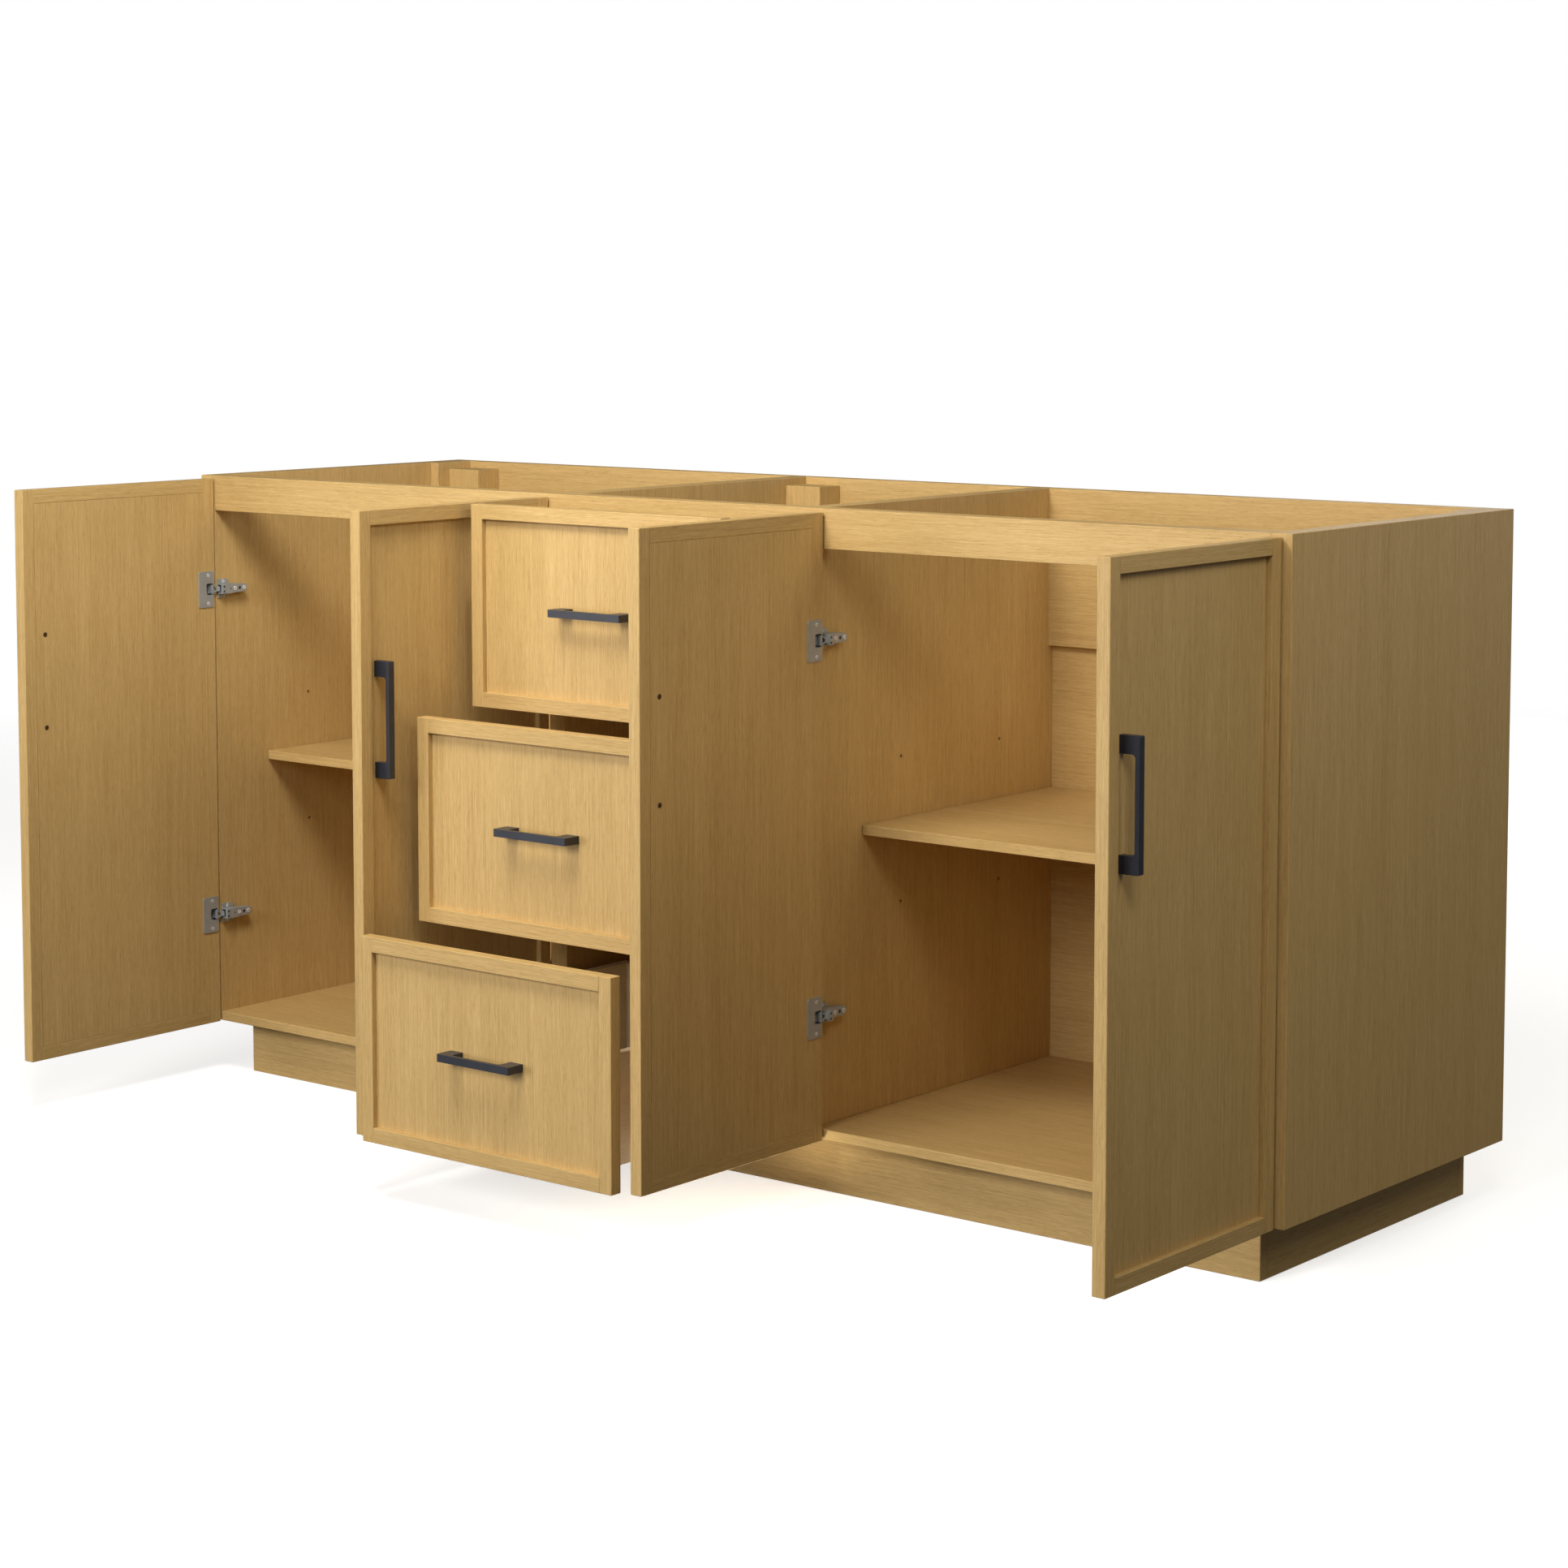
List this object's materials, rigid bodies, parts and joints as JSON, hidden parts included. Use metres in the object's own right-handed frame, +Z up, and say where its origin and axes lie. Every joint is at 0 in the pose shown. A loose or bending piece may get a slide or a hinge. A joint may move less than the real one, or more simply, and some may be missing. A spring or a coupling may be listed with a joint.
{
  "type": "bathroom vanity cabinet",
  "caption": "Wide double-basin vanity base in light oak: two shelved bays behind hinged doors, drawers between them, square bar pulls and a recessed plinth.",
  "frame": {"origin": "on the floor, under the middle of the case", "axes": "+X to the right along the front, +Y to the back, +Z up"},
  "size_m": [1.815, 0.9105, 0.868],
  "materials": {
    "oak_veneer": "light natural oak veneer with straight fine grain, satin clear coat",
    "birch_wood": "pale plywood drawer box, satin clear coat",
    "black_metal": "matte blue-black powder coat",
    "nickel": "nickel-plated pressed steel"
  },
  "bodies": {
    "case": {"back_panel": "oak_veneer", "back_top_board": "oak_veneer", "bottom_panel": "oak_veneer", "corner_blocks": "oak_veneer", "divider_left": "oak_veneer", "divider_right": "oak_veneer", "drawer_slide_rails": "nickel", "front_top_rail": "oak_veneer", "hinge_arm_screws": "nickel", "hinge_arms": "nickel", "rear_cleats": "oak_veneer", "shelf_left": "oak_veneer", "shelf_pins": "nickel", "shelf_right": "oak_veneer", "side_panel_left": "oak_veneer", "side_panel_right": "oak_veneer", "toe_kick_back": "oak_veneer", "toe_kick_front": "oak_veneer", "toe_kick_rails": "oak_veneer", "toe_kick_sides": "oak_veneer"},
    "door_1": {"door_1_frame": "oak_veneer", "door_1_hinge_cups": "nickel", "door_1_panel": "oak_veneer", "door_1_pull": "black_metal", "door_1_screws": "nickel"},
    "door_1_links": {"door_1_hinge_links": "nickel"},
    "door_2": {"door_2_frame": "oak_veneer", "door_2_hinge_cups": "nickel", "door_2_panel": "oak_veneer", "door_2_pull": "black_metal", "door_2_screws": "nickel"},
    "door_2_links": {"door_2_hinge_links": "nickel"},
    "door_3": {"door_3_frame": "oak_veneer", "door_3_hinge_cups": "nickel", "door_3_panel": "oak_veneer", "door_3_pull": "black_metal", "door_3_screws": "nickel"},
    "door_3_links": {"door_3_hinge_links": "nickel"},
    "door_4": {"door_4_frame": "oak_veneer", "door_4_hinge_cups": "nickel", "door_4_panel": "oak_veneer", "door_4_pull": "black_metal", "door_4_screws": "nickel"},
    "door_4_links": {"door_4_hinge_links": "nickel"},
    "drawer_1": {"drawer_1_box": "birch_wood", "drawer_1_front": "oak_veneer", "drawer_1_pull": "black_metal", "drawer_1_slide_inner": "nickel"},
    "drawer_1_runner": {"drawer_1_slide_middle": "nickel"},
    "drawer_2": {"drawer_2_box": "birch_wood", "drawer_2_front": "oak_veneer", "drawer_2_pull": "black_metal", "drawer_2_slide_inner": "nickel"},
    "drawer_2_runner": {"drawer_2_slide_middle": "nickel"},
    "drawer_3": {"drawer_3_box": "birch_wood", "drawer_3_front": "oak_veneer", "drawer_3_pull": "black_metal", "drawer_3_slide_inner": "nickel"},
    "drawer_3_runner": {"drawer_3_slide_middle": "nickel"}
  },
  "joints": [
    {"name": "door_1_link_shift", "type": "slide", "parent": "case", "child": "door_1_links", "axis": [1, 0, 0], "range_m": [-0.0151, 0.00093]},
    {"name": "door_1_swing", "type": "hinge", "parent": "door_1_links", "child": "door_1", "pos_m": [-0.8785, -0.2735, 0.47], "axis": [0, 0, -1], "range_deg": [-90, 5]},
    {"name": "door_2_link_shift", "type": "slide", "parent": "case", "child": "door_2_links", "axis": [-1, 0, 0], "range_m": [-0.0151, 0.0001]},
    {"name": "door_2_swing", "type": "hinge", "parent": "door_2_links", "child": "door_2", "pos_m": [-0.2325, -0.2735, 0.47], "axis": [0, 0, 1], "range_deg": [-90, 0]},
    {"name": "door_3_link_shift", "type": "slide", "parent": "case", "child": "door_3_links", "axis": [1, 0, 0], "range_m": [-0.0151, 0.0001]},
    {"name": "door_3_swing", "type": "hinge", "parent": "door_3_links", "child": "door_3", "pos_m": [0.2325, -0.2735, 0.47], "axis": [0, 0, -1], "range_deg": [-90, 0]},
    {"name": "door_4_link_shift", "type": "slide", "parent": "case", "child": "door_4_links", "axis": [-1, 0, 0], "range_m": [-0.0151, 0.00093]},
    {"name": "door_4_swing", "type": "hinge", "parent": "door_4_links", "child": "door_4", "pos_m": [0.8785, -0.2735, 0.47], "axis": [0, 0, 1], "range_deg": [-90, 5]},
    {"name": "drawer_1_pull_out", "type": "slide", "parent": "case", "child": "drawer_1", "axis": [0, -1, 0], "range_m": [-0.142, 0.14]},
    {"name": "drawer_1_runner_slide", "type": "slide", "parent": "case", "child": "drawer_1_runner", "axis": [0, -1, 0], "range_m": [-0.0711, 0.0701]},
    {"name": "drawer_2_pull_out", "type": "slide", "parent": "case", "child": "drawer_2", "axis": [0, -1, 0], "range_m": [-0.242, 0.04]},
    {"name": "drawer_2_runner_slide", "type": "slide", "parent": "case", "child": "drawer_2_runner", "axis": [0, -1, 0], "range_m": [-0.1211, 0.0201]},
    {"name": "drawer_3_pull_out", "type": "slide", "parent": "case", "child": "drawer_3", "axis": [0, -1, 0], "range_m": [-0.344, 0.056]},
    {"name": "drawer_3_runner_slide", "type": "slide", "parent": "case", "child": "drawer_3_runner", "axis": [0, -1, 0], "range_m": [-0.1721, 0.0281]}
  ],
  "couplings": [
    {"joint": "door_1_link_shift", "follows": "door_1_swing", "m_per_rad": 0.0095493},
    {"joint": "door_2_link_shift", "follows": "door_2_swing", "m_per_rad": 0.0095493},
    {"joint": "door_3_link_shift", "follows": "door_3_swing", "m_per_rad": 0.0095493},
    {"joint": "door_4_link_shift", "follows": "door_4_swing", "m_per_rad": 0.0095493},
    {"joint": "drawer_1_runner_slide", "follows": "drawer_1_pull_out", "ratio": 0.5},
    {"joint": "drawer_2_runner_slide", "follows": "drawer_2_pull_out", "ratio": 0.5},
    {"joint": "drawer_3_runner_slide", "follows": "drawer_3_pull_out", "ratio": 0.5}
  ]
}
